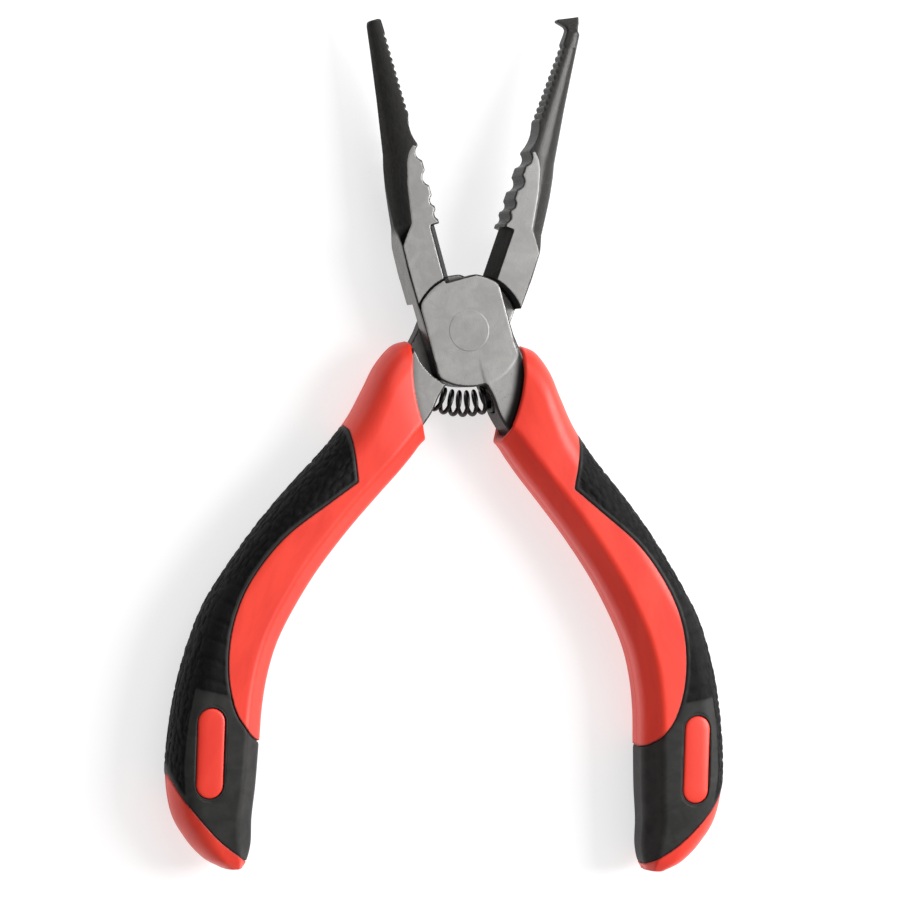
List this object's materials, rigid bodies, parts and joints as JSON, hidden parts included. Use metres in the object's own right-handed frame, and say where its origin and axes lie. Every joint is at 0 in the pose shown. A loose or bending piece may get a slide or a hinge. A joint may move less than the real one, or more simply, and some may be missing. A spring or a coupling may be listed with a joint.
{
  "type": "fishing pliers",
  "caption": "Spring-opened needle-nose fishing pliers with a split-ring tooth, crimping notches, side cutter and curved two-colour moulded grips.",
  "frame": {"origin": "bottom centre of the bounding box of the opened tool, on the plane that the backs of the grips rest on", "axes": "+Y towards the nose tips, +Z out of the front face through the tool's thickness, +X towards the front half's grip; the hinge axis is parallel to +Z"},
  "size_m": [0.1056, 0.158, 0.0135],
  "materials": {
    "ground_steel": "bead-blasted and ground flats, black-oxide rounded sides and cutter bevels",
    "rivet_steel": "ground flush with the joint plates",
    "spring_wire": "black oiled spring wire",
    "hard_red": "smooth semi-gloss moulding",
    "soft_black": "pebbled soft overmould, smooth around the oval inlays"
  },
  "bodies": {
    "front_half": {"front_half": "ground_steel", "pivot_rivet": "rivet_steel", "return_spring": "spring_wire", "right_core": "hard_red", "right_overmould": "soft_black", "right_end_cap": "hard_red", "right_inlay_front": "hard_red", "right_inlay_back": "hard_red"},
    "rear_half": {"rear_half": "ground_steel", "left_core": "hard_red", "left_overmould": "soft_black", "left_end_cap": "hard_red", "left_inlay_front": "hard_red", "left_inlay_back": "hard_red"}
  },
  "joints": [
    {"name": "pivot", "type": "hinge", "parent": "front_half", "child": "rear_half", "pos_m": [0, 0.02013, 0.00675], "axis": [0, 0, 1], "range_deg": [0, 35], "stiffness_Nm_per_rad": 0.25, "springref_deg": -14.32, "deforming": ["return_spring"]}
  ]
}
